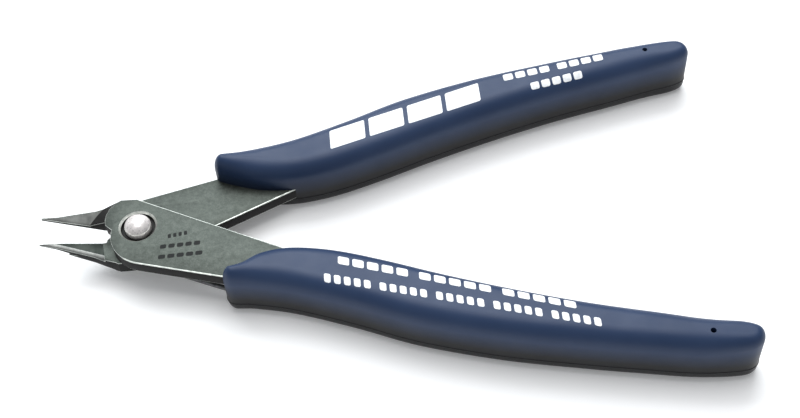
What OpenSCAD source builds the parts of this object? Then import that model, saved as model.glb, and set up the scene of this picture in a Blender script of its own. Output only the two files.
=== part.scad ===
// Flush cutter: two lapped steel jaw plates on one rivet, opened by a wire
// torsion spring, with a moulded vinyl grip over the tang of each plate.
//
// Everything is laid out about the pivot: X runs back along the handles, Z up
// through the rivet. The front plate lies above the mating plane and carries
// the jaw on +Y and the handle on -Y; the rear plate is its mirror, below.

/* [Plates] */
// Thickness of each steel plate
plate_t = 2.5; // [2.2:0.1:2.8]
// Running gap between the mating faces of the two plates
plate_gap = 0.04; // [0.02:0.01:0.06]
// Radius of the rounded cheek of each plate
cheek_r = 7.3; // [7.1:0.1:7.5]

/* [Jaws] */
// Distance from the pivot to the tip of the jaws
jaw_reach = 18.1; // [17.5:0.1:19]
// Distance from the pivot at which the jaws bend upwards
bend_start = 7; // [6.6:0.1:7.4]
// Upward bend of the jaws
bend_angle = 14; // [8:1:18]
// Height of the ground land beside the cutting edge, at the bend
edge_land = 0.7; // [0.6:0.05:0.9]
// Rise of a jaw's outer face from the cutting edge to the back, per mm
jaw_slope = 0.28; // [0.2:0.02:0.34]
// Loss of thickness towards the tip, per mm
jaw_taper = 0.016; // [0:0.002:0.02]
// Slope of the ground shoulder between the head and the jaw
shoulder_slope = 0.36; // [0.3:0.02:0.6]
// Bevel along the back of the rear jaw
back_bevel = 0.35; // [0.2:0.05:0.5]
// Angle through which the handles close the jaws
closing_angle = 19; // [16:1:19]

/* [Pivot] */
// Radius of the rivet shank
shank_r = 2; // [1.8:0.1:2.1]
// Running clearance round the shank in the rear plate
pivot_clearance = 0.03; // [0.02:0.01:0.08]
// Radius of the domed rivet head
dome_r = 2.45; // [2.3:0.05:2.6]
// Height of the domed rivet head above the floor of its recess
dome_h = 2.7; // [2:0.1:3]
// Radius of the recess round the rivet head
recess_r = 3.2; // [3:0.1:3.4]
// Depth of the recess
recess_depth = 1; // [0.8:0.1:1.3]
// Chamfer round the mouth of the recess
chamfer = 0.35; // [0.2:0.05:0.4]
// Radius of the retaining washer behind the spring
washer_r = 3.9; // [3.6:0.1:4.2]

/* [Spring] */
// Radius of the spring wire
wire_r = 0.5; // [0.4:0.05:0.5]
// Mean radius of the spring coil
coil_r = 3; // [2.8:0.1:3.2]
// Angle between each spring leg and the middle line of the handles
leg_angle = 24.4; // [23:0.2:25]
// Distance along X from the pivot to the end of each spring leg
leg_end_x = 24.5; // [23:0.5:26]

/* [Grips] */
// Thickness of each grip
grip_t = 11.4; // [11.2:0.1:12]
// Radius of the grip's long edges
grip_edge_r = 2.6; // [2:0.1:2.8]
// Radius of the edges at the grip's front face
grip_front_r = 1.5; // [0.8:0.1:1.6]
// Radius of the edges at the end of the grip
grip_end_r = 1.6; // [1:0.1:1.7]
// How much further forward the rear grip starts than the front grip
rear_grip_lead = 2.4; // [0:0.1:2.6]
// Radius of the small locating hole near the end of each grip
pin_hole_r = 0.5; // [0.4:0.1:0.7]
// Depth of the locating hole
pin_hole_depth = 2; // [1:0.5:3]

/* [Hidden] */
$fn = 64;
eps = 0.01;

half_closing = closing_angle / 2;

// The cheek and the shoulder of the front plate are arcs about these centres.
cheek_c = [2.4, -1.5];
shoulder_c = [-0.9, 1.9];
shoulder_r = 5.3;
// How far inside the outline the shoulder's cone starts.
shoulder_inset = 0.15;
// Where the straight edges of the arm meet the grip.
arm_outer = [16.4, -12.95];
arm_inner = [28.4, -8.05];
// Where the inner edges of the two arms cross, and the top corners of the head.
crotch = [14.3, -0.95];
head_top = [[0.9, 5.75], [-0.4, 6.4], [-3.6, 6.45]];
// Inner and outer edges of the tang, inside the grip.
tang_outer = [[24, -15], [39, -19.2], [50, -23.9], [64, -28], [78, -30.9],
              [90, -33], [93.5, -33.2]];
tang_inner = [[94, -31.3], [80, -26.9], [68, -23.1], [56, -18.9], [46, -15.2],
              [38, -12.4]];

// The jaw in its own frame, which has the closed cutting line along -X.
cut_root = [-7.15, 0.32];
cut_tip = [-jaw_reach, -0.39];
tip_blunt = [0.06, 0.25];
back_knee = [-15.2, 0.7];
back_root = [-8.9, 3.2];
back_top = [-5, 5.4];
// Where the jaw's outline ends inside the head.
jaw_heel = [[-3, 3], [-4.5, 0.3]];
bevel_slope = 0.5;
big = 40;

// Outline of a grip in plan, in order round it: inner edge, end and outer edge.
grip_inner = [[27, 8.2], [32, 8.6], [38, 10], [46, 12.8], [56, 16.7],
              [68, 20.9], [80, 24.6], [92, 27.7], [100, 29.85]];
grip_end = [[104.6, 30.95], [107.1, 32.2], [107.6, 33.9], [106.6, 35.6],
            [104, 36.3]];
grip_outer = [[97, 36.15], [88, 34.7], [78, 32.9], [64, 30], [50, 25.9],
              [39, 21.3], [28.5, 17.4]];
grip_end_x = 107.63;
// Radius of the outline at the front outer corner.
corner_r = 1.9;
// Lengths over which the edge radius grows at the front and falls at the end.
front_blend = 8;
end_blend = 11;
pin_hole_at = [98.8, 33.2];
edge_steps = 5;
loop_steps = 4;

coil_pitch = 2 * wire_r + 0.05;
coil_sweep = 360 + 180 - 2 * leg_angle;
coil_top_z = -plate_t - wire_r - 0.05;
coil_end_z = coil_top_z - coil_pitch * coil_sweep / 360;
washer_t = 0.25;
washer_top_z = coil_end_z - wire_r - 0.03;
tail_r = 2.7;
tail_h = 0.4;

// The part's own frame: the middle of its footprint, on the surface it lies on.
tip_x = cut_tip[0] * cos(half_closing) + cut_tip[1] * sin(half_closing);
centre_x = (grip_end_x + tip_x) / 2;
module placed() translate([-centre_x, 0, grip_t / 2]) children();

// ---- helpers ----

function arc(c, r, a0, a1, n) =
    [for (i = [0:n]) c + r * [cos(a0 + (a1 - a0) * i / n), sin(a0 + (a1 - a0) * i / n)]];
function mix(a, b, t) = a + (b - a) * t;
// A point of the plate in the jaw's frame.
function turned(p) = [p[0] * cos(half_closing) - p[1] * sin(half_closing),
                      p[0] * sin(half_closing) + p[1] * cos(half_closing)];

// Smooth curve through the points p, with n steps from each to the next.
function spline_at(a, b, c, d, t) =
    0.5 * (2 * b + (c - a) * t + (2 * a - 5 * b + 4 * c - d) * t * t
           + (3 * b - a - 3 * c + d) * t * t * t);
function smooth(p, n) =
    let (last = len(p) - 1, q = concat([2 * p[0] - p[1]], p, [2 * p[last] - p[last - 1]]))
    [for (i = [1:last]) for (k = [0:n - 1])
        spline_at(q[i - 1], q[i], q[i + 1], q[i + 2], k / n)];

// Unit normal of closed loop p at point i, pointing into a counter-clockwise loop.
function inward(p, i) =
    let (d = p[(i + 1) % len(p)] - p[(i + len(p) - 1) % len(p)])
    [-d[1], d[0]] / norm(d);

// Solid between rings of equal length, each ring a list of 3-D points.
module skin(rings) {
    n = len(rings[0]);
    polyhedron(
        points = [for (r = rings) for (p = r) p],
        faces = concat(
            [[for (i = [0:n - 1]) i]],
            [for (k = [0:len(rings) - 2]) for (i = [0:n - 1])
                [k * n + i, (k + 1) * n + i, k * n + (i + 1) % n]],
            [for (k = [0:len(rings) - 2]) for (i = [0:n - 1])
                [k * n + (i + 1) % n, (k + 1) * n + i, (k + 1) * n + (i + 1) % n]],
            [[for (i = [n - 1:-1:0]) (len(rings) - 1) * n + i]]));
}

// ---- plates ----

module plate_outline() {
    polygon(concat(
        arc(cheek_c, cheek_r, 172, 254.5, 16),
        [arm_outer], tang_outer, tang_inner, [arm_inner, crotch], head_top,
        arc(shoulder_c, shoulder_r, 122, 193, 12)));
}

// Half-space below the plane through p that rises by slope_x along X and slope_y along Y.
module below_plane(p, slope_x, slope_y)
    translate(p)
        rotate(a = acos(1 / norm([slope_x, slope_y, 1])), v = [slope_y, -slope_x, 0])
            translate([-big, -big, -big]) cube([2 * big, 2 * big, big]);

// The jaw's outline in its own frame, to any height.
module jaw_prism()
    translate([0, 0, -big]) linear_extrude(2 * big)
        polygon(concat([cut_root, cut_tip, cut_tip + tip_blunt, back_knee, back_root,
                        back_top], jaw_heel));

// The ground shoulder, widest at the mating plane.
module shoulder_cone() {
    top_r = shoulder_r - shoulder_inset;
    translate(turned(shoulder_c))
        cylinder(r1 = top_r + plate_t / shoulder_slope, r2 = top_r, h = plate_t);
}

// The front jaw rises from the mating plane; its outer face is ground away.
module front_jaw() {
    rise = tan(bend_angle);
    intersection() {
        jaw_prism();
        translate([-big, -big, 0]) cube(2 * big);
        mirror([0, 0, 1]) below_plane([-bend_start, 0, 0], rise, 0);
        union() {
            below_plane([-bend_start, 0, edge_land], jaw_taper - rise, jaw_slope);
            shoulder_cone();
        }
    }
}

// The rear jaw hangs below the mating plane, with a bevel along its back.
module rear_jaw() {
    rise = tan(bend_angle);
    back_dir = (back_root - back_knee) / norm(back_root - back_knee);
    bevel_z = -rise * (back_root[0] + bend_start) - back_bevel;
    intersection() {
        jaw_prism();
        union() {
            translate([-big, -big, -2 * big]) cube(2 * big);
            below_plane([-bend_start, 0, 0], -rise, 0);
        }
        union() {
            translate([-bend_start, -big, -big]) cube(2 * big);
            below_plane([back_root[0], back_root[1], bevel_z],
                        bevel_slope * back_dir[1] - rise, -bevel_slope * back_dir[0]);
        }
        mirror([0, 0, 1]) union() {
            below_plane([-bend_start, 0, edge_land], jaw_taper + rise, jaw_slope);
            shoulder_cone();
        }
    }
}

module front_plate() {
    color([0.50, 0.53, 0.50]) placed() translate([0, 0, plate_gap / 2])
        difference() {
            union() {
                linear_extrude(plate_t) plate_outline();
                rotate([0, 0, -half_closing]) front_jaw();
            }
            translate([0, 0, -eps]) cylinder(r = shank_r, h = plate_t);
            translate([0, 0, plate_t - recess_depth]) cylinder(r = recess_r, h = plate_t);
            translate([0, 0, plate_t - chamfer])
                cylinder(r1 = recess_r, r2 = recess_r + 2 * chamfer, h = 2 * chamfer);
        }
}

module rear_plate() {
    color([0.50, 0.53, 0.50]) placed() translate([0, 0, -plate_gap / 2])
        mirror([0, 1, 0]) difference() {
            union() {
                translate([0, 0, -plate_t]) linear_extrude(plate_t) plate_outline();
                rotate([0, 0, -half_closing]) rear_jaw();
            }
            translate([0, 0, -plate_t - 1])
                cylinder(r = shank_r + pivot_clearance, h = plate_t + 2);
        }
}

// ---- pivot ----

module pivot_rivet() {
    floor_z = plate_gap / 2 + plate_t - recess_depth;
    side_h = dome_h * 0.4;
    cap_h = dome_h - side_h;
    tail_z = washer_top_z - washer_t;
    cap = [for (a = [0:10:90]) [dome_r * cos(a), floor_z + side_h + cap_h * sin(a)]];
    tail = [for (a = [0:15:60]) [tail_r - 0.6 * (1 - cos(a)), tail_z - tail_h * sin(a) / sin(60)]];
    color([0.85, 0.86, 0.86]) placed()
        rotate_extrude() polygon(concat(
            [[0, tail_z - tail_h]], [for (i = [len(tail) - 1:-1:0]) tail[i]],
            [[shank_r, tail_z], [shank_r, floor_z], [dome_r, floor_z]], cap));
}

module rivet_washer() {
    color([0.60, 0.61, 0.61]) placed() translate([0, 0, washer_top_z - washer_t])
        difference() {
            cylinder(r = washer_r, h = washer_t);
            translate([0, 0, -1]) cylinder(r = shank_r, h = washer_t + 2);
        }
}

// ---- spring ----

// Points where each leg leaves the coil and where it ends inside a grip.
function leg_root(side, z) = [-coil_r * sin(leg_angle), side * coil_r * cos(leg_angle), z];
function leg_tip(side, z) =
    [leg_end_x, side * (coil_r * cos(leg_angle)
                        + tan(leg_angle) * (leg_end_x + coil_r * sin(leg_angle))), z];
function coil_point(t) =
    let (a = 90 + leg_angle + coil_sweep * t)
    [coil_r * cos(a), coil_r * sin(a), mix(coil_top_z, coil_end_z, t)];

// Ring of the wire round point p, square to direction d.
function wire_ring(p, d, r, n) =
    let (u = d / norm(d), side = cross([0, 0, 1], u), s = side / norm(side), t = cross(u, s))
    [for (i = [0:n - 1]) p + r * (s * cos(360 * i / n) + t * sin(360 * i / n))];

module return_spring() {
    turns = 46;
    path = concat(
        [leg_tip(1, coil_top_z)],
        [for (i = [0:turns]) coil_point(i / turns)],
        [leg_tip(-1, coil_end_z)]);
    last = len(path) - 1;
    color([0.35, 0.35, 0.36]) placed()
        skin([for (i = [last:-1:0])
            wire_ring(path[i], path[min(i + 1, last)] - path[max(i - 1, 0)], wire_r, 10)]);
}

// ---- grips ----

// Plan of a grip whose front face stands forward by the lead.
function grip_outline(lead) =
    let (corner = arc([18 - lead, 13.35 - 0.15 * lead], corner_r, 97, 236, 7),
         sides = smooth(concat(
             [corner[7], [19.3 - 0.85 * lead, 11 - 0.3 * lead], [22.6 - 0.25 * lead, 9 - 0.1 * lead]],
             grip_inner, grip_end, grip_outer,
             [[21.2 - 0.6 * lead, 15.65 - 0.05 * lead], corner[0]]), loop_steps))
    concat(corner, [for (i = [1:len(sides) - 1]) sides[i]]);

// Edge radius: small at the front face, full along the sides, smaller at the end.
function edge_radius(x, lead) =
    let (front = min(1, max(0, (x - 16 + lead) / front_blend)),
         end = min(1, max(0, (x - grip_end_x + end_blend) / end_blend)))
    mix(mix(grip_front_r, grip_edge_r, front), grip_end_r, end);

module grip_body(lead) {
    p = grip_outline(lead);
    angles = concat([for (k = [0:edge_steps]) 90 * k / edge_steps - 90],
                    [for (k = [0:edge_steps]) 90 * k / edge_steps]);
    skin([for (j = [0:len(angles) - 1])
        [for (i = [0:len(p) - 1])
            let (r = edge_radius(p[i][0], lead), a = angles[j],
                 q = p[i] + inward(p, i) * r * (1 - cos(a)),
                 z = (j <= edge_steps ? -1 : 1) * (grip_t / 2 - r) + r * sin(a))
            [q[0], q[1], z]]]);
}

// A grip, drawn on +Y, with its plate's tang between tang_z and tang_z + plate_t
// and the hole for its spring leg at leg_z.
module grip(lead, tang_z, leg_z) {
    root = leg_root(1, leg_z);
    tip = leg_tip(1, leg_z);
    difference() {
        grip_body(lead);
        translate([0, 0, tang_z]) linear_extrude(plate_t) mirror([0, 1, 0]) plate_outline();
        translate(root) rotate([0, 90, leg_angle])
            cylinder(r = wire_r + 0.1, h = norm(tip - root) + 0.5);
        translate([pin_hole_at[0], pin_hole_at[1], grip_t / 2 - pin_hole_depth])
            cylinder(r = pin_hole_r, h = pin_hole_depth + 1);
    }
}

module front_grip() {
    color([0.27, 0.32, 0.43]) placed() mirror([0, 1, 0]) grip(0, plate_gap / 2, coil_end_z);
}

module rear_grip() {
    color([0.27, 0.32, 0.43]) placed() grip(rear_grip_lead, -plate_gap / 2 - plate_t, coil_top_z);
}

front_plate();
rear_plate();
pivot_rivet();
rivet_washer();
return_spring();
front_grip();
rear_grip();
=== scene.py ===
"""Looks for the flush cutter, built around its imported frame.

Plan points are in millimetres about the pivot, with X back along the handles,
as the tool is laid out; place() turns them into metres in the part's frame.
"""
import math

import bmesh
import bpy
import numpy as np
from mathutils import Matrix, Vector
from mathutils.bvhtree import BVHTree


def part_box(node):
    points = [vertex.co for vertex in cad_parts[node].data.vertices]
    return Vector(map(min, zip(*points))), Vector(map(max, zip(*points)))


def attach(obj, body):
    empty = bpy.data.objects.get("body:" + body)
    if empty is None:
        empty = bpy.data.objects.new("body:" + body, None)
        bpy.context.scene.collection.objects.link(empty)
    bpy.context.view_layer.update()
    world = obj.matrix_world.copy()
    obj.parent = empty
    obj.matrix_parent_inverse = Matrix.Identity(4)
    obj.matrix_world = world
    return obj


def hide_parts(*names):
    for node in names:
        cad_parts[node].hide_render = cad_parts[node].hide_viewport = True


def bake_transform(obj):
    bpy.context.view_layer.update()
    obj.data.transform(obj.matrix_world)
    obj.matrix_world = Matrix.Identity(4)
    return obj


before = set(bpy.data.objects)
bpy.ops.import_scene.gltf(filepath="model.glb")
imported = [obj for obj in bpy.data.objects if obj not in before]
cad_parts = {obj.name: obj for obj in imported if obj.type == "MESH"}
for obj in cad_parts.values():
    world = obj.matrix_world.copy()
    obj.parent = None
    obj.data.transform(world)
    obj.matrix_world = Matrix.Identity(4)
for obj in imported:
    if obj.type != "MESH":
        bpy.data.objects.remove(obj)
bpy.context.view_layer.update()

MM = 0.001
rivet_lo, rivet_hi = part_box("pivot_rivet")
grip_lo, grip_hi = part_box("rear_grip")
pivot = Vector(((rivet_lo.x + rivet_hi.x) / 2, 0, (grip_lo.z + grip_hi.z) / 2))
grip_half = (grip_hi.z - grip_lo.z) / 2 / MM


def place(x, y, z):
    return Vector((pivot.x + x * MM, pivot.y + y * MM, pivot.z + z * MM))


# ---- materials ----

def new_material(name):
    m = bpy.data.materials.new(name)
    m.use_nodes = True
    tree = m.node_tree
    return m, tree, tree.nodes["Principled BSDF"]


def node(tree, kind, **attributes):
    n = tree.nodes.new(kind)
    for key, value in attributes.items():
        setattr(n, key, value)
    return n


def object_coords(tree, scale=(1, 1, 1)):
    coords = node(tree, "ShaderNodeTexCoord")
    mapping = node(tree, "ShaderNodeMapping")
    mapping.inputs["Scale"].default_value = scale
    tree.links.new(coords.outputs["Object"], mapping.inputs["Vector"])
    return mapping.outputs["Vector"]


def noise(tree, vector, scale, detail=4, roughness=0.6):
    n = node(tree, "ShaderNodeTexNoise")
    n.inputs["Scale"].default_value = scale
    n.inputs["Detail"].default_value = detail
    n.inputs["Roughness"].default_value = roughness
    tree.links.new(vector, n.inputs["Vector"])
    return n.outputs["Fac"]


def ramp(tree, value, stops):
    r = node(tree, "ShaderNodeValToRGB")
    while len(r.color_ramp.elements) < len(stops):
        r.color_ramp.elements.new(0.5)
    for element, (at, colour) in zip(r.color_ramp.elements, stops):
        element.position = at
        element.color = (*colour, 1)
    tree.links.new(value, r.inputs["Fac"])
    return r.outputs["Color"]


def grey(v):
    return (v, v, v)


def add_bump(tree, shader, height, strength, distance):
    b = node(tree, "ShaderNodeBump")
    b.inputs["Strength"].default_value = strength
    b.inputs["Distance"].default_value = distance
    tree.links.new(height, b.inputs["Height"])
    tree.links.new(b.outputs["Normal"], shader.inputs["Normal"])


def plate_material():
    """Blasted steel plate: fine grain, slow mottling."""
    m, t, s = new_material("blasted_steel")
    v = object_coords(t)
    grain = noise(t, v, 5200, 3, 0.7)
    mottle = noise(t, v, 900, 6, 0.75)
    mix = node(t, "ShaderNodeMath", operation="MULTIPLY_ADD")
    mix.inputs[1].default_value = 0.35
    t.links.new(grain, mix.inputs[0])
    half = node(t, "ShaderNodeMath", operation="MULTIPLY")
    half.inputs[1].default_value = 0.65
    t.links.new(mottle, half.inputs[0])
    t.links.new(half.outputs[0], mix.inputs[2])
    tones = [(0.32, (0.033, 0.038, 0.033)), (0.5, (0.066, 0.076, 0.067)), (0.68, (0.112, 0.124, 0.111))]
    t.links.new(ramp(t, mix.outputs[0], tones), s.inputs["Base Color"])
    t.links.new(ramp(t, mix.outputs[0], [(0.3, grey(0.44)), (0.7, grey(0.58))]), s.inputs["Roughness"])
    s.inputs["Metallic"].default_value = 0.85
    add_bump(t, s, grain, 0.25, 0.00004)
    return m


def rim_material():
    """Worn bright edge where the plate was sheared and tumbled."""
    m, t, s = new_material("bright_rim")
    v = object_coords(t)
    n = noise(t, v, 900, 4)
    t.links.new(ramp(t, n, [(0.3, (0.42, 0.45, 0.42)), (0.6, (0.72, 0.75, 0.70))]), s.inputs["Base Color"])
    t.links.new(ramp(t, n, [(0.3, grey(0.42)), (0.7, grey(0.3))]), s.inputs["Roughness"])
    s.inputs["Metallic"].default_value = 0.9
    return m


def painted_shade_side_material():
    """Sheared side of a plate with drag lines through its thickness, painted near black as painted shade;
    the same painted shade goes into the rivet recess and onto the jaw shoulder.
    """
    m, t, s = new_material("sheared_side_painted_shade")
    v = object_coords(t, (1, 1, 0.12))
    n = noise(t, v, 2600, 4)
    t.links.new(ramp(t, n, [(0.3, (0.004, 0.004, 0.004)), (0.7, (0.014, 0.013, 0.012))]),
                s.inputs["Base Color"])
    t.links.new(ramp(t, n, [(0.3, grey(0.5)), (0.7, grey(0.65))]), s.inputs["Roughness"])
    s.inputs["Specular IOR Level"].default_value = 0.2
    add_bump(t, s, n, 0.3, 0.00005)
    return m


def ground_material(name, dark, light):
    """Ground jaw facets with fine grinding lines across them."""
    m, t, s = new_material(name)
    v = object_coords(t, (1, 0.08, 0.08))
    lines = noise(t, v, 7000, 3)
    slow = noise(t, object_coords(t), 380, 3)
    t.links.new(ramp(t, slow, [(0.3, dark), (0.7, light)]), s.inputs["Base Color"])
    t.links.new(ramp(t, lines, [(0.3, grey(0.34)), (0.7, grey(0.50))]), s.inputs["Roughness"])
    s.inputs["Metallic"].default_value = 1.0
    add_bump(t, s, lines, 0.12, 0.00003)
    return m


def rivet_material():
    """Polished rivet with the faint dimples of its heading; its pale, only partly metallic colour is
    partly its own metal and partly painted reflection of the pale floor.
    """
    m, t, s = new_material("polished_rivet")
    v = object_coords(t)
    dimple = noise(t, v, 620, 2, 0.5)
    t.links.new(ramp(t, dimple, [(0.35, (0.70, 0.66, 0.64)), (0.65, (0.84, 0.79, 0.77))]),
                s.inputs["Base Color"])
    t.links.new(ramp(t, noise(t, v, 2400, 3), [(0.3, grey(0.24)), (0.7, grey(0.36))]),
                s.inputs["Roughness"])
    # low metallic lets the pale base colour show as painted reflection all over the dome
    s.inputs["Metallic"].default_value = 0.35
    add_bump(t, s, dimple, 0.5, 0.0003)
    return m


def wire_material():
    m, t, s = new_material("spring_wire")
    v = object_coords(t)
    n = noise(t, v, 1800, 3)
    t.links.new(ramp(t, n, [(0.3, (0.10, 0.10, 0.105)), (0.7, (0.22, 0.22, 0.225))]),
                s.inputs["Base Color"])
    t.links.new(ramp(t, n, [(0.3, grey(0.3)), (0.7, grey(0.42))]), s.inputs["Roughness"])
    s.inputs["Metallic"].default_value = 1.0
    return m


def vinyl_material(name, dark, light, painted_shade_colour, low, high, rough):
    """Moulded vinyl: satin skin with a fine pebble; the lower half is painted darker, down to near black,
    as painted shade where the grip's side falls into shadow.
    """
    m, t, s = new_material(name)
    v = object_coords(t)
    slow = noise(t, v, 70, 4, 0.55)
    pebble = noise(t, v, 3200, 3, 0.6)
    height = node(t, "ShaderNodeSeparateXYZ")
    t.links.new(v, height.inputs[0])
    rise = node(t, "ShaderNodeMapRange")
    rise.inputs["From Min"].default_value = low
    rise.inputs["From Max"].default_value = high
    t.links.new(height.outputs["Z"], rise.inputs["Value"])
    # painted shade: the colour fades from the near-black shade colour at the low height to the clean tones
    # at the high height
    mix = node(t, "ShaderNodeMix", data_type="RGBA")
    t.links.new(rise.outputs[0], mix.inputs["Factor"])
    t.links.new(ramp(t, slow, [(0.3, painted_shade_colour), (0.7, [1.25 * c for c in painted_shade_colour])]), mix.inputs[6])
    t.links.new(ramp(t, slow, [(0.3, dark), (0.7, light)]), mix.inputs[7])
    t.links.new(mix.outputs[2], s.inputs["Base Color"])
    t.links.new(ramp(t, noise(t, v, 260, 3), [(0.3, grey(rough - 0.04)), (0.7, grey(rough + 0.05))]),
                s.inputs["Roughness"])
    s.inputs["Specular IOR Level"].default_value = 0.3
    add_bump(t, s, pebble, 0.16, 0.00006)
    return m


def ink_material():
    m, t, s = new_material("white_ink")
    v = object_coords(t)
    n = noise(t, v, 1400, 3)
    t.links.new(ramp(t, n, [(0.3, (0.70, 0.72, 0.74)), (0.6, (0.92, 0.93, 0.94))]),
                s.inputs["Base Color"])
    t.links.new(ramp(t, n, [(0.3, grey(0.5)), (0.7, grey(0.6))]), s.inputs["Roughness"])
    return m


def stamp_material():
    m, t, s = new_material("stamped_mark")
    v = object_coords(t)
    n = noise(t, v, 2600, 3)
    t.links.new(ramp(t, n, [(0.3, (0.003, 0.004, 0.004)), (0.7, (0.012, 0.014, 0.013))]),
                s.inputs["Base Color"])
    t.links.new(ramp(t, n, [(0.3, grey(0.55)), (0.7, grey(0.7))]), s.inputs["Roughness"])
    s.inputs["Specular IOR Level"].default_value = 0.2
    return m


def floor_material():
    m, t, s = new_material("pale_floor")
    v = object_coords(t)
    n = noise(t, v, 12, 2)
    t.links.new(ramp(t, n, [(0.3, grey(0.93)), (0.7, grey(0.95))]), s.inputs["Base Color"])
    s.inputs["Roughness"].default_value = 0.85
    s.inputs["Specular IOR Level"].default_value = 0.1
    s.inputs["Emission Color"].default_value = (1, 1, 1, 1)
    s.inputs["Emission Strength"].default_value = 0.14
    return m


blasted = plate_material()
rim = rim_material()
side = painted_shade_side_material()
ground = ground_material("ground_steel", (0.050, 0.052, 0.050), (0.096, 0.099, 0.094))
# a painted-shade copy and a painted-highlight copy of the ground finish, for the rear jaw
painted_shade_ground = ground_material("ground_steel_painted_shade", (0.015, 0.018, 0.016), (0.034, 0.038, 0.034))
bevel = ground_material("ground_bevel_painted_highlight", (0.13, 0.135, 0.13), (0.22, 0.225, 0.215))
polished = rivet_material()
wire = wire_material()
# heights between which the grips' painted shade fades out upward
GRIP_SHADE_LOW_Z = -1.6
GRIP_SHADE_HIGH_Z = 2.6
# the near-black third colour is the painted shade on the grips' lower half
vinyl = vinyl_material("blue_vinyl", (0.015, 0.033, 0.083), (0.021, 0.042, 0.099), (0.007, 0.007, 0.008),
                       place(0, 0, GRIP_SHADE_LOW_Z).z, place(0, 0, GRIP_SHADE_HIGH_Z).z, 0.44)
ink = ink_material()
stamp = stamp_material()


# ---- mesh helpers ----

def link(name, mesh):
    o = bpy.data.objects.new(name, mesh)
    bpy.context.scene.collection.objects.link(o)
    return o


def apply_modifiers(o):
    bpy.context.view_layer.update()
    final = bpy.data.meshes.new_from_object(o.evaluated_get(bpy.context.evaluated_depsgraph_get()))
    o.modifiers.clear()
    o.data = final


def smooth(o, angle):
    """Smooth shading, with edges sharper than the angle left sharp."""
    bm = bmesh.new()
    bm.from_mesh(o.data)
    for f in bm.faces:
        f.smooth = True
    limit = math.radians(angle)
    for e in bm.edges:
        e.smooth = len(e.link_faces) == 2 and e.calc_face_angle(0) < limit
    bm.to_mesh(o.data)
    bm.free()


def mesh_from(name, points, faces):
    m = bpy.data.meshes.new(name)
    m.from_pydata([tuple(p) for p in points], [], faces)
    m.update()
    return link(name, m)


def skin(name, rings):
    """A tube between rings of equal length, with flat ends."""
    n = len(rings[0])
    points = [p for r in rings for p in r]
    faces = [(k * n + i, k * n + (i + 1) % n, (k + 1) * n + (i + 1) % n, (k + 1) * n + i)
             for k in range(len(rings) - 1) for i in range(n)]
    faces.append(tuple(range(n - 1, -1, -1)))
    faces.append(tuple((len(rings) - 1) * n + i for i in range(n)))
    return mesh_from(name, points, faces)


def subtract(o, cutter):
    m = o.modifiers.new("cut", "BOOLEAN")
    m.operation = "DIFFERENCE"
    m.solver = "EXACT"
    m.object = cutter
    apply_modifiers(o)
    bpy.data.objects.remove(cutter)


# ---- plates ----

BLASTED, RIM, PAINTED_SHADE, GROUND, PAINTED_SHADE_GROUND, PAINTED_HIGHLIGHT_BEVEL = range(6)
PLATE_MATERIALS = (blasted, rim, side, ground, painted_shade_ground, bevel)
RECESS_R = 3.2
JAW_HEEL_X = -2.5
SHOULDER_X = -9.5
CHAMFER_REACH = RECESS_R + 0.6
RIM_WIDTH = 0.18 * MM
JAW_RIM_WIDTH = 0.05 * MM
RIM_KEEP_OUT_R = 4.4
RIM_ANGLE = math.radians(50)


def from_pivot(v):
    return math.hypot(v.co.x - pivot.x, v.co.y - pivot.y) / MM


def plate_face(f, front):
    """Which material a face of a plate gets, from where it is and how it lies, including painted shade and
    painted highlight.
    """
    c = f.calc_center_median()
    n = f.normal
    reach = max(from_pivot(v) for v in f.verts)
    # painted shade: faces inside the rivet recess get the near-black side material
    if reach < RECESS_R + 0.1:
        return PAINTED_SHADE
    if reach < CHAMFER_REACH and 0.1 < abs(n.z) < 0.95:
        return RIM
    # painted shade: the plates' upright sides get the near-black side material
    if abs(n.z) < 0.1:
        return PAINTED_SHADE
    if c.x > place(JAW_HEEL_X, 0, 0).x or abs(n.z) > 0.9995:
        return BLASTED
    if front:
        # painted shade: the upward, left-facing shoulder at the upper jaw's root gets the near-black side
        # material instead of the ground finish
        on_shoulder = n.z > 0 and n.x < -0.2 and c.x > place(SHOULDER_X, 0, 0).x
        return PAINTED_SHADE if on_shoulder else GROUND
    # the rear jaw's ground faces: up-tilted bevels get the painted-highlight copy, the rest the
    # painted-shade copy
    return PAINTED_HIGHLIGHT_BEVEL if n.z > 0 and abs(n.y) > 0.1 else PAINTED_SHADE_GROUND


def plate(name, body):
    """The CAD plate with worn, bright rims; faces are sorted by what made them, and some by painted shade
    and painted highlight: recess, sides and jaw shoulder painted near black, rear jaw faces lit or shaded
    by their tilt.
    """
    node_name = name.replace("_skin", "")
    o = link(name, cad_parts[node_name].data.copy())
    o.data.materials.clear()
    for m in PLATE_MATERIALS:
        o.data.materials.append(m)
    bm = bmesh.new()
    bm.from_mesh(o.data)
    bmesh.ops.remove_doubles(bm, verts=bm.verts, dist=1e-7)
    bmesh.ops.dissolve_limit(bm, angle_limit=math.radians(0.6), verts=bm.verts, edges=bm.edges)
    bm.normal_update()
    for f in bm.faces:
        f.material_index = plate_face(f, name.startswith("front"))
    bend_x = place(JAW_HEEL_X, 0, 0).x
    for near_jaw, width in ((False, RIM_WIDTH), (True, JAW_RIM_WIDTH)):
        sharp = [e for e in bm.edges if len(e.link_faces) == 2 and e.calc_face_angle(0) > RIM_ANGLE
                 and (min(v.co.x for v in e.verts) < bend_x) == near_jaw
                 and min(from_pivot(v) for v in e.verts) > RIM_KEEP_OUT_R
                 and e.calc_length() > 2.2 * width]
        bmesh.ops.bevel(bm, geom=sharp, offset=width, segments=2, profile=0.5, affect="EDGES",
                        clamp_overlap=False, material=RIM)
    bm.to_mesh(o.data)
    bm.free()
    smooth(o, 28)
    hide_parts(node_name)
    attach(o, body)
    return o


front_plate = plate("front_plate_skin", "front_lever")
rear_plate = plate("rear_plate_skin", "rear_lever")


# ---- pivot ----

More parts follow.
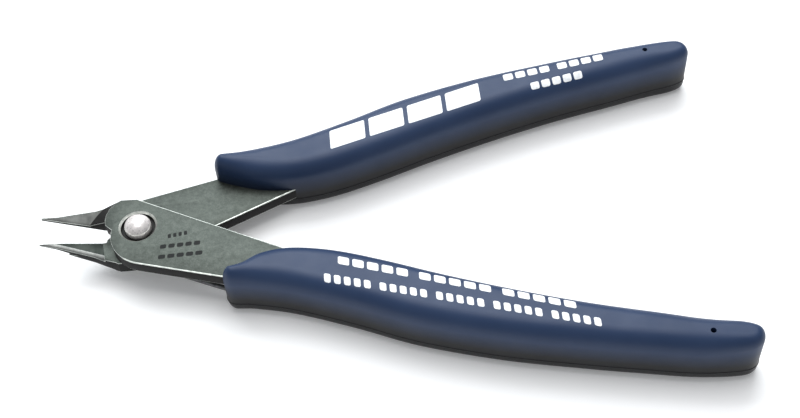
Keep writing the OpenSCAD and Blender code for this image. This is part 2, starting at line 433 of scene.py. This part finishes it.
def lathe(name, profile, steps=72, x=0, y=0):
    """A turned shape about the upright line through x, y; the profile is (radius, height) pairs."""
    angles = [2 * math.pi * i / steps for i in range(steps)]
    return skin(name, [[place(x + r * math.cos(a), y + r * math.sin(a), z) for a in angles]
                       for r, z in profile])


rivet_top = (rivet_hi.z - pivot.z) / MM
rivet_bottom = (rivet_lo.z - pivot.z) / MM
DOME_R = 2.45
DOME_H = 2.7
SHANK_R = 1.98
TAIL_R = 2.7
dome_base = rivet_top - DOME_H
tail_top = rivet_bottom + 0.4
DOME_SIDE = 1.0
dome = [(DOME_R * math.cos(math.radians(a)),
         dome_base + DOME_SIDE + (DOME_H - DOME_SIDE) * math.sin(math.radians(a)))
        for a in range(0, 90, 5)]
rivet = lathe("rivet", [(0.02, rivet_bottom), (TAIL_R - 0.7, rivet_bottom + 0.01),
                        (TAIL_R - 0.25, rivet_bottom + 0.12), (TAIL_R, tail_top),
                        (SHANK_R, tail_top), (SHANK_R, dome_base), (DOME_R - 0.06, dome_base),
                        (DOME_R, dome_base + 0.1)] + dome + [(0.02, rivet_top)])
rivet.data.materials.append(polished)
smooth(rivet, 40)
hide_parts("pivot_rivet")
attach(rivet, "front_lever")

washer_lo, washer_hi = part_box("rivet_washer")
WASHER_R = (washer_hi.x - washer_lo.x) / 2 / MM
wz0 = (washer_lo.z - pivot.z) / MM
wz1 = (washer_hi.z - pivot.z) / MM
washer = lathe("washer", [(SHANK_R + 0.05, wz0), (WASHER_R - 0.06, wz0), (WASHER_R, wz0 + 0.06),
                          (WASHER_R, wz1 - 0.06), (WASHER_R - 0.06, wz1), (SHANK_R + 0.05, wz1)])
washer.data.materials.append(rim)
smooth(washer, 40)
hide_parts("rivet_washer")
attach(washer, "front_lever")


# ---- spring ----

WIRE_R = 0.5
COIL_R = 3.0
LEG_ANGLE = math.radians(24.4)
LEG_END_X = 24.4
SPRING_TOP = -3.05
COIL_PITCH = 1.05
LEG_STEPS = 24
COIL_STEPS = 140


def spring_path():
    """Centre line of the wire: upper leg, one and a half turns about the pivot, lower leg."""
    sweep = 3 * math.pi - 2 * LEG_ANGLE
    root = np.array([-COIL_R * math.sin(LEG_ANGLE), COIL_R * math.cos(LEG_ANGLE), SPRING_TOP])
    reach = (LEG_END_X - root[0]) / math.cos(LEG_ANGLE)
    direction = np.array([math.cos(LEG_ANGLE), math.sin(LEG_ANGLE), 0])
    points = [root + direction * reach * k / LEG_STEPS for k in range(LEG_STEPS, 0, -1)]
    drop = -COIL_PITCH * sweep / (2 * math.pi)
    for i in range(COIL_STEPS + 1):
        a = math.pi / 2 + LEG_ANGLE + sweep * i / COIL_STEPS
        points.append(np.array([COIL_R * math.cos(a), COIL_R * math.sin(a),
                                SPRING_TOP + drop * i / COIL_STEPS]))
    root = points[-1]
    tip = np.array([LEG_END_X, -(COIL_R * math.cos(LEG_ANGLE) + math.tan(LEG_ANGLE)
                                 * (LEG_END_X + COIL_R * math.sin(LEG_ANGLE))), root[2]])
    points += [root + (tip - root) * k / LEG_STEPS for k in range(1, LEG_STEPS + 1)]
    return points


def sweep_tube(name, points, radius, sides):
    """A round tube along a path that is never upright."""
    rings = []
    last = len(points) - 1
    for i, p in enumerate(points):
        d = points[min(i + 1, last)] - points[max(i - 1, 0)]
        d = d / np.linalg.norm(d)
        s = np.cross([0, 0, 1], d)
        s /= np.linalg.norm(s)
        u = np.cross(d, s)
        rings.append([place(*(p + radius * (s * math.cos(2 * math.pi * k / sides)
                                            + u * math.sin(2 * math.pi * k / sides))))
                      for k in range(sides)])
    return skin(name, rings)


spring = sweep_tube("spring", spring_path(), WIRE_R - 0.01, 20)
spring.data.materials.append(wire)
smooth(spring, 40)
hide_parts("return_spring")
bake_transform(spring)


# ---- grips ----

GRIP_INNER = [(27, 8.2), (32, 8.6), (38, 10), (46, 12.8), (56, 16.7), (68, 20.9), (80, 24.6),
              (92, 27.7), (100, 29.85)]
GRIP_END = [(104.6, 30.95), (107.1, 32.2), (107.6, 33.9), (106.6, 35.6), (104, 36.3)]
GRIP_OUTER = [(97, 36.15), (88, 34.7), (78, 32.9), (64, 30), (50, 25.9), (39, 21.3), (28.5, 17.4)]
FRONT_CORNER_R = 1.9
GRIP_END_X = 107.63
REAR_LEAD = 2.4
PIN_HOLE = (98.8, 33.2)
PIN_HOLE_R = 0.5
PIN_HOLE_DEPTH = 2
CURVE_STEPS = 9


def catmull(points, steps):
    p = [np.array(q, float) for q in points]
    p = [2 * p[0] - p[1]] + p + [2 * p[-1] - p[-2]]
    out = []
    for a, b, c, d in zip(p, p[1:], p[2:], p[3:]):
        for k in range(steps):
            t = k / steps
            out.append(0.5 * (2 * b + (c - a) * t + (2 * a - 5 * b + 4 * c - d) * t * t
                              + (3 * b - a - 3 * c + d) * t ** 3))
    return out


def grip_outline(lead):
    centre = np.array([18 - lead, 13.35 - 0.15 * lead])
    corner = [centre + FRONT_CORNER_R * np.array([math.cos(math.radians(a)), math.sin(math.radians(a))])
              for a in np.linspace(97, 236, 13)]
    sides = catmull([corner[-1], (19.3 - 0.85 * lead, 11 - 0.3 * lead),
                     (22.6 - 0.25 * lead, 9 - 0.1 * lead)]
                    + GRIP_INNER + GRIP_END + GRIP_OUTER
                    + [(21.2 - 0.6 * lead, 15.65 - 0.05 * lead), corner[0]], CURVE_STEPS)
    return np.array(corner + sides[1:])


def inward(p):
    """Unit vectors into a closed outline that runs anticlockwise."""
    d = np.roll(p, -1, 0) - np.roll(p, 1, 0)
    return np.stack([-d[:, 1], d[:, 0]], 1) / np.linalg.norm(d, axis=1)[:, None]


def blend_in(x, start, length):
    t = np.clip((x - start) / length, 0, 1)
    return t * t * (3 - 2 * t)


SEAM_Z = -2.9
SEAM_HALF = 0.16


def grip(name, sign, lead, body):
    """A moulded grip: rounded top edge, parting seam low on the side, flat underside."""
    p = grip_outline(lead)
    n = inward(p)
    front = blend_in(p[:, 0], 16 - lead, 8)
    end = blend_in(p[:, 0], GRIP_END_X - 12, 12)
    top_w = (1.8 + 1.3 * front) * (1 - end) + 1.7 * end
    top_h = (3.5 - 0.1 * front) * (1 - end) + 2.1 * end
    low_w = (1.6 + 0.5 * front) * (1 - end) + 1.5 * end
    low_h = (2.6 - 0.4 * front) * (1 - end) + 1.8 * end
    profile = []
    for a in np.linspace(0, 90, 9):
        c, s = math.cos(math.radians(a)), math.sin(math.radians(a))
        profile.append((low_w * (1 - s), -grip_half + low_h * (1 - c)))
    low_top = -grip_half + low_h
    for step, proud in ((-1, 0), (-0.5, 0.07), (0, 0.1), (0.5, 0.07), (1, 0)):
        dz = step * SEAM_HALF
        profile.append((-proud, np.maximum(SEAM_Z + dz, low_top + 0.02 + 0.1 * (dz + SEAM_HALF))))
    for a in np.linspace(0, 90, 13):
        c, s = math.cos(math.radians(a)), math.sin(math.radians(a))
        profile.append((top_w * (1 - c), grip_half - top_h * (1 - s)))
    rings = []
    for inset, z in profile:
        q = p + n * np.broadcast_to(inset, len(p))[:, None]
        zz = np.broadcast_to(z, len(p))
        rings.append([place(x, sign * y, h) for (x, y), h in zip(q, zz)])
    o = skin(name, rings)
    bm = bmesh.new()
    bm.from_mesh(o.data)
    bmesh.ops.triangulate(bm, faces=[f for f in bm.faces if len(f.verts) > 4])
    bmesh.ops.recalc_face_normals(bm, faces=bm.faces)
    bm.to_mesh(o.data)
    bm.free()
    o.data.materials.append(vinyl)
    tang = link("tang_cutter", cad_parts[body.replace("_lever", "_plate")].data.copy())
    tang.data.materials.clear()
    tang.data.materials.append(vinyl)
    subtract(o, tang)
    hole = lathe("hole_cutter", [(PIN_HOLE_R, grip_half - PIN_HOLE_DEPTH), (PIN_HOLE_R, grip_half + 1)],
                 32, PIN_HOLE[0], sign * PIN_HOLE[1])
    hole.data.materials.append(vinyl)
    subtract(o, hole)
    smooth(o, 32)
    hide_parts(name.replace("_skin", ""))
    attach(o, body)
    return o


rear_grip = grip("rear_grip_skin", 1, REAR_LEAD, "rear_lever")
front_grip = grip("front_grip_skin", -1, 0, "front_lever")


# ---- generic printed and stamped marks ----

INK_T = 0.04
SINK = 0.04
BAR_ROWS = 9
COLUMN_PITCH = 0.5
STAMP_T = 0.02


def bar_grid(centre, along, length, width, slant, radius):
    """Plan points of a slanted bar with rounded corners, as a grid of columns."""
    across = np.array([-along[1], along[0]])
    columns = max(3, int(length / COLUMN_PITCH) + 1)
    grid = []
    us = np.concatenate([[-0.5 * length + radius * (1 - math.cos(math.radians(t))) for t in (0, 40, 90)],
                         np.linspace(-0.5 * length + radius, 0.5 * length - radius, columns)[1:-1],
                         [0.5 * length - radius * (1 - math.cos(math.radians(t))) for t in (90, 40, 0)]])
    for u in us:
        beyond = max(0.0, abs(u) - (length / 2 - radius)) / radius
        half = width / 2 - radius * (1 - math.sqrt(max(0.0, 1 - beyond * beyond)))
        grid.append([centre + along * (u + slant * v) + across * v
                     for v in np.linspace(-half, half, BAR_ROWS)])
    return grid


def marks(name, bars, surface, material, body, thickness=INK_T):
    """A thin layer laid on a surface, one closed island for each bar."""
    bm = bmesh.new()
    bm.from_mesh(surface.data)
    tree = BVHTree.FromBMesh(bm)
    bm.free()
    points, faces = [], []
    for centre, along, length, width, slant in bars:
        grid = bar_grid(np.array(centre, float), np.array(along, float), length, width, slant,
                        min(0.3, 0.28 * min(length, width)))
        base, columns = len(points), len(grid)
        for offset in (-SINK, thickness):
            for column in grid:
                for x, y in column:
                    hit = tree.ray_cast(place(x, y, 20), Vector((0, 0, -1)))[0]
                    points.append(hit + Vector((0, 0, offset * MM)))
        n = BAR_ROWS
        layer = columns * n

        def index(top, i, j):
            return base + top * layer + i * n + j

        for i in range(columns - 1):
            for j in range(n - 1):
                faces.append((index(1, i, j), index(1, i + 1, j),
                              index(1, i + 1, j + 1), index(1, i, j + 1)))
                faces.append((index(0, i, j), index(0, i, j + 1),
                              index(0, i + 1, j + 1), index(0, i + 1, j)))
            for j, flip in ((0, False), (n - 1, True)):
                q = (index(0, i, j), index(0, i + 1, j), index(1, i + 1, j), index(1, i, j))
                faces.append(q[::-1] if flip else q)
        for j in range(n - 1):
            for i, flip in ((0, True), (columns - 1, False)):
                q = (index(0, i, j), index(0, i, j + 1), index(1, i, j + 1), index(1, i, j))
                faces.append(q[::-1] if flip else q)
    o = mesh_from(name, points, faces)
    o.data.materials.append(material)
    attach(o, body)
    return o


def row(start, end, words, gap, word_gap, width, slant):
    """Blocks from start to end, in groups; words gives the number of blocks in each group."""
    start, end = np.array(start, float), np.array(end, float)
    total = np.linalg.norm(end - start)
    along = (end - start) / total
    blocks = sum(words)
    gaps = gap * (blocks - len(words)) + word_gap * (len(words) - 1)
    size = (total - gaps) / blocks
    bars, at = [], 0.0
    for count in words:
        for k in range(count):
            bars.append((start + along * (at + size / 2), along, size, width, slant))
            at += size + gap
        at += word_gap - gap
    return bars


bold = row((36.0, 15.0), (65.2, 24.9), [4], 0.9, 0.9, 4.4, 0.3)
small = row((70.2, 28.1), (90.2, 32.0), [4, 4], 0.55, 1.7, 1.7, 0.1)
small += row((75.3, 25.5), (85.6, 28.0), [5], 0.5, 1.5, 1.4, 0.1)
marks("rear_grip_marks", bold + small, rear_grip, ink, "rear_lever")
upper = row((36.8, -13.3), (76.9, -26.2), [5, 5, 5], 0.6, 2.0, 1.6, -0.3)
lower = row((34.3, -16.8), (80.6, -30.1), [5, 5, 5, 5, 5], 0.6, 1.6, 1.6, -0.3)
marks("front_grip_marks", upper + lower, front_grip, ink, "front_lever")

stamped = row((5.7, -2.9), (9.2, -2.3), [4], 0.4, 0.8, 0.9, 0.1)
stamped += row((4.4, -5.2), (11.7, -4.8), [5], 0.4, 0.8, 0.9, 0.1)
stamped += row((4.2, -7.5), (12.2, -7.1), [5], 0.4, 0.8, 0.9, 0.1)
marks("plate_marks", stamped, front_plate, stamp, "front_lever", STAMP_T)


# ---- stage, light and camera ----

FLOOR_HALF = 1.2
floor = mesh_from("floor", [(-FLOOR_HALF, -FLOOR_HALF, 0), (FLOOR_HALF, -FLOOR_HALF, 0),
                            (FLOOR_HALF, FLOOR_HALF, 0), (-FLOOR_HALF, FLOOR_HALF, 0)], [(0, 1, 2, 3)])
floor.data.materials.append(floor_material())

world = bpy.data.worlds.new("studio")
bpy.context.scene.world = world
world.use_nodes = True
world.node_tree.nodes["Background"].inputs["Color"].default_value = (0.93, 0.96, 1.0, 1)
world.node_tree.nodes["Background"].inputs["Strength"].default_value = 0.42


def area(name, location, target, size, power, colour=(1, 1, 1)):
    data = bpy.data.lights.new(name, "AREA")
    data.shape = "RECTANGLE"
    data.size, data.size_y = size
    data.energy = power
    data.color = colour
    o = bpy.data.objects.new(name, data)
    bpy.context.scene.collection.objects.link(o)
    o.location = location
    o.rotation_euler = (Vector(target) - Vector(location)).to_track_quat("-Z", "Y").to_euler()
    return o


area("key", (-0.05, 0.46, 0.52), (0, 0, 0), (0.7, 0.5), 5.2, (0.93, 0.97, 1.0))
area("top", (0.0, 0.10, 0.62), (0, 0, 0), (0.5, 0.4), 2.0)

CAMERA = {"elevation": 0.8941422, "azimuth": 0.0006004, "distance": 241.91475,
          "target": (48.29301, 1.72821), "roll": -0.0702731, "focal_px": 1300.0}
IMAGE_WIDTH = 800
SENSOR = 36.0
e, a, roll = CAMERA["elevation"], CAMERA["azimuth"], CAMERA["roll"]
back = Vector((math.sin(a) * math.cos(e), -math.cos(a) * math.cos(e), math.sin(e)))
right = Vector((math.cos(a), math.sin(a), 0))
up = back.cross(right)
right, up = right * math.cos(roll) + up * math.sin(roll), up * math.cos(roll) - right * math.sin(roll)
camera_data = bpy.data.cameras.new("camera")
camera_data.sensor_width = SENSOR
camera_data.lens = CAMERA["focal_px"] * SENSOR / IMAGE_WIDTH
camera_data.clip_start = 0.005
camera = bpy.data.objects.new("camera", camera_data)
bpy.context.scene.collection.objects.link(camera)
camera.matrix_world = Matrix.Translation(
    place(*CAMERA["target"], 0) + back * CAMERA["distance"] * MM) @ Matrix(
    (right, up, back)).transposed().to_4x4()
bpy.context.scene.camera = camera
bpy.context.scene.view_settings.view_transform = "Standard"

bpy.context.view_layer.update()
